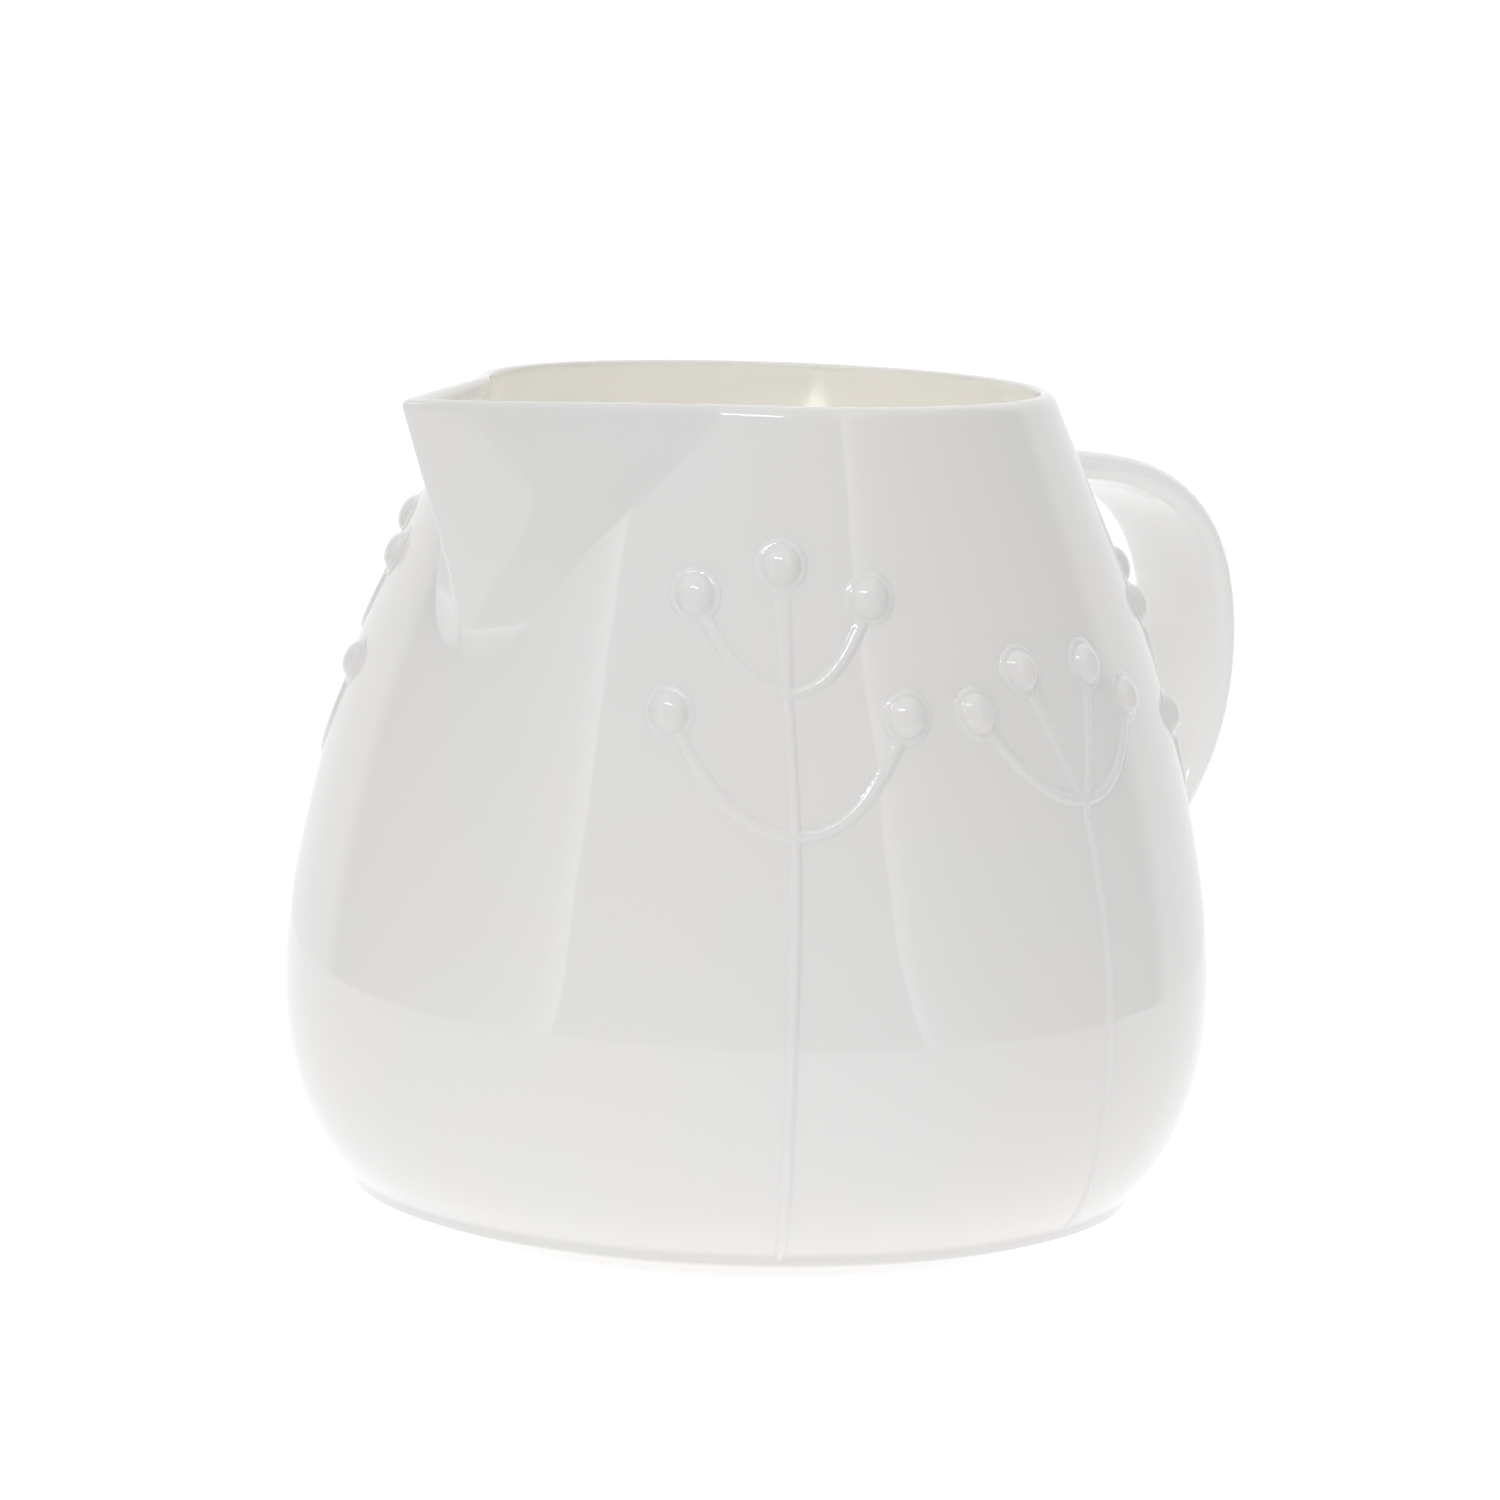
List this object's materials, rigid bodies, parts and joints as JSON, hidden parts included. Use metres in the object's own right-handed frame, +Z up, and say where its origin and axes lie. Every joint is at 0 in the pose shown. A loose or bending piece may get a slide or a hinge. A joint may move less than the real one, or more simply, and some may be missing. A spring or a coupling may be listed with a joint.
{
  "type": "ceramic pitcher",
  "caption": "Squat white glazed ceramic pitcher with a beak spout, a wide strap handle and raised umbel flower sprigs on its belly.",
  "frame": {"origin": "on the plane that the foot stands on, under the centre of the overall bounding box; the axis that the belly is turned on stands at x = -0.01615 m", "axes": "+Z up out of the mouth, +X towards the handle, -X towards the spout, -Y towards the front"},
  "size_m": [0.1982, 0.161, 0.1475],
  "materials": {
    "white_glaze": "gloss",
    "relief_glaze": "gloss"
  },
  "bodies": {
    "root": {"vessel_body": "white_glaze", "spout": "white_glaze", "handle": "white_glaze", "sprig_front_spout_side": "relief_glaze", "sprig_front_middle": "relief_glaze", "sprig_front_handle_side": "relief_glaze", "sprig_back_spout_side": "relief_glaze", "sprig_back_middle": "relief_glaze", "sprig_back_handle_side": "relief_glaze"}
  },
  "joints": []
}
